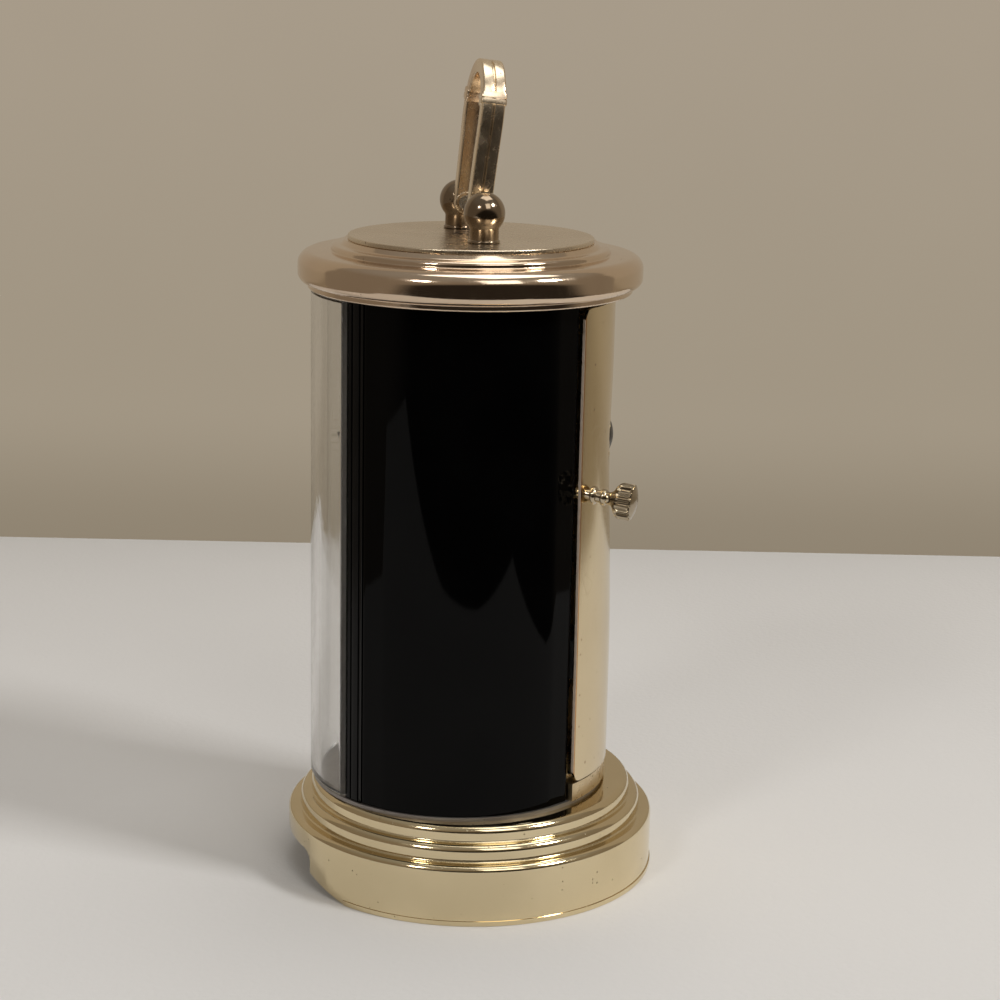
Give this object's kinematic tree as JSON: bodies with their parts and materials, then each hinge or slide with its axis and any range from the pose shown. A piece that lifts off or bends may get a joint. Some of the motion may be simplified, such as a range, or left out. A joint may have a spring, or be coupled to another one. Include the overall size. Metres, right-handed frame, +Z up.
{
  "type": "desk alarm clock",
  "caption": "Small round pillar-shaped desk alarm clock: spun brass base and cap, glossy black sides, curved clear front, curved hinged back door and a folding carrying handle.",
  "frame": {"origin": "centre of the round base, on the surface that the clock stands on", "axes": "+Z up through the case, -Y towards the dial and the curved lens, +Y towards the back door, +X towards the side that a person facing the dial has on the right"},
  "size_m": [0.0588, 0.0586, 0.127],
  "materials": {
    "base_brass": "polished, softly worn",
    "cap_brass": "polished, pinkish",
    "disc_brass": "satin top, polished edge",
    "door_brass": "rolled sheet, lightly brushed",
    "turned_brass": "turned and polished",
    "handle_brass": "bright polished",
    "panel_black": "high gloss",
    "frame_black": "gloss with fine grooves",
    "lens_clear": "clear",
    "plate_grey": "satin",
    "dial_white": "satin print",
    "hand_black": "black lacquer",
    "hand_alarm": "gold lacquer",
    "hand_second": "red lacquer",
    "button_black": "gloss",
    "movement_plastic": "fine texture",
    "wheel_plastic": "moulded",
    "cannon_brass": "turned",
    "knob_plastic": "grooved",
    "steel": "plated",
    "magnet": "sintered",
    "winding": "lacquered copper wire",
    "board_green": "resist",
    "sounder_black": "moulded",
    "battery_jacket": "printed film",
    "pad_black": "soft pad",
    "plate_steel": "matt black"
  },
  "bodies": {
    "case": {"base_shell": "base_brass", "cap_shell": "cap_brass", "top_disc": "disc_brass", "rear_frame": "door_brass", "hinge_pin": "door_brass", "post_left": "handle_brass", "post_right": "handle_brass", "handle_pins": "handle_brass", "post_nuts": "handle_brass", "side_panel_left": "panel_black", "side_panel_right": "panel_black", "front_frame": "frame_black", "lens": "lens_clear", "case_floor": "plate_grey", "case_roof": "plate_grey", "dial_plate": "dial_white", "movement_case_front": "movement_plastic", "movement_case_rear": "movement_plastic", "battery_holder": "movement_plastic", "dial_nut": "cannon_brass", "crystal": "cannon_brass", "tie_rods": "steel", "roof_screws": "steel", "base_screws": "steel", "movement_screws": "steel", "cap_spacers": "steel", "stator": "steel", "coil_core": "steel", "battery_contact_low": "steel", "battery_contact_high": "steel", "alarm_contact": "steel", "door_magnet": "magnet", "coil": "winding", "circuit_board": "board_green", "sounder": "sounder_black", "battery": "battery_jacket", "base_pad": "pad_black", "base_plate": "plate_steel"},
    "door": {"back_door": "door_brass", "door_knob": "turned_brass", "knob_nut": "turned_brass"},
    "handle": {"handle": "handle_brass"},
    "alarm_button": {"alarm_button": "button_black"},
    "battery_cover": {"battery_cover": "movement_plastic"},
    "time_knob": {"time_set_knob": "knob_plastic"},
    "minute_hand": {"minute_hand": "hand_black", "minute_cannon": "cannon_brass"},
    "hour_hand": {"hour_hand": "hand_black", "hour_wheel": "wheel_plastic"},
    "motion_wheel": {"motion_wheel": "wheel_plastic"},
    "alarm_knob": {"alarm_set_knob": "knob_plastic"},
    "alarm_hand": {"alarm_hand": "hand_alarm", "alarm_wheel": "wheel_plastic"},
    "rotor": {"rotor": "magnet"},
    "step_wheel": {"step_wheel": "wheel_plastic"},
    "second_hand": {"second_hand": "hand_second", "second_wheel": "wheel_plastic"},
    "third_wheel": {"third_wheel": "wheel_plastic"},
    "centre_wheel": {"centre_wheel": "wheel_plastic"}
  },
  "joints": [
    {"name": "door_hinge", "type": "hinge", "parent": "case", "child": "door", "pos_m": [-0.01565, 0.01656, 0.055], "axis": [0, 0, 1], "range_deg": [0, 110]},
    {"name": "handle_swing", "type": "hinge", "parent": "case", "child": "handle", "pos_m": [0, -0.0013, 0.1049], "axis": [0.9763, 0.2164, 0], "range_deg": [-90, 104]},
    {"name": "alarm_button_press", "type": "slide", "parent": "case", "child": "alarm_button", "axis": [0, -1, 0], "range_m": [0, 0.0008], "stiffness_N_per_m": 300, "springref_m": -0.001},
    {"name": "battery_cover_slide", "type": "slide", "parent": "case", "child": "battery_cover", "axis": [0, 1, 0], "range_m": [0, 0.009]},
    {"name": "time_set", "type": "hinge", "parent": "case", "child": "time_knob", "pos_m": [0.00661, 0, 0.05682], "axis": [0, 1, 0], "continuous": true},
    {"name": "minute_turn", "type": "hinge", "parent": "case", "child": "minute_hand", "pos_m": [0, 0, 0.066], "axis": [0, 1, 0], "continuous": true},
    {"name": "hour_turn", "type": "hinge", "parent": "case", "child": "hour_hand", "pos_m": [0, 0, 0.066], "axis": [0, 1, 0], "continuous": true},
    {"name": "motion_wheel_turn", "type": "hinge", "parent": "case", "child": "motion_wheel", "pos_m": [0.00544, 0, 0.06346], "axis": [0, 1, 0], "continuous": true},
    {"name": "alarm_set", "type": "hinge", "parent": "case", "child": "alarm_knob", "pos_m": [-0.00463, 0, 0.06048], "axis": [0, 1, 0], "continuous": true},
    {"name": "alarm_hand_turn", "type": "hinge", "parent": "case", "child": "alarm_hand", "pos_m": [0, 0, 0.066], "axis": [0, 1, 0], "continuous": true},
    {"name": "rotor_turn", "type": "hinge", "parent": "case", "child": "rotor", "pos_m": [0.00405, 0, 0.07301], "axis": [0, 1, 0], "continuous": true},
    {"name": "step_wheel_turn", "type": "hinge", "parent": "case", "child": "step_wheel", "pos_m": [0.00216, 0, 0.06974], "axis": [0, 1, 0], "continuous": true},
    {"name": "second_turn", "type": "hinge", "parent": "case", "child": "second_hand", "pos_m": [0, 0, 0.066], "axis": [0, 1, 0], "continuous": true},
    {"name": "third_wheel_turn", "type": "hinge", "parent": "case", "child": "third_wheel", "pos_m": [-0.0053, 0, 0.06906], "axis": [0, 1, 0], "continuous": true},
    {"name": "centre_wheel_turn", "type": "hinge", "parent": "case", "child": "centre_wheel", "pos_m": [0, 0, 0.066], "axis": [0, 1, 0], "continuous": true}
  ],
  "couplings": [
    {"joint": "minute_turn", "follows": "time_set", "ratio": 1.5},
    {"joint": "hour_turn", "follows": "time_set", "ratio": 0.125},
    {"joint": "motion_wheel_turn", "follows": "time_set", "ratio": -0.5},
    {"joint": "alarm_hand_turn", "follows": "alarm_set", "ratio": -0.5},
    {"joint": "step_wheel_turn", "follows": "rotor_turn", "ratio": -0.16667},
    {"joint": "second_turn", "follows": "rotor_turn", "ratio": 0.033333},
    {"joint": "third_wheel_turn", "follows": "rotor_turn", "ratio": -0.0044444},
    {"joint": "centre_wheel_turn", "follows": "rotor_turn", "ratio": 0.00055556}
  ]
}
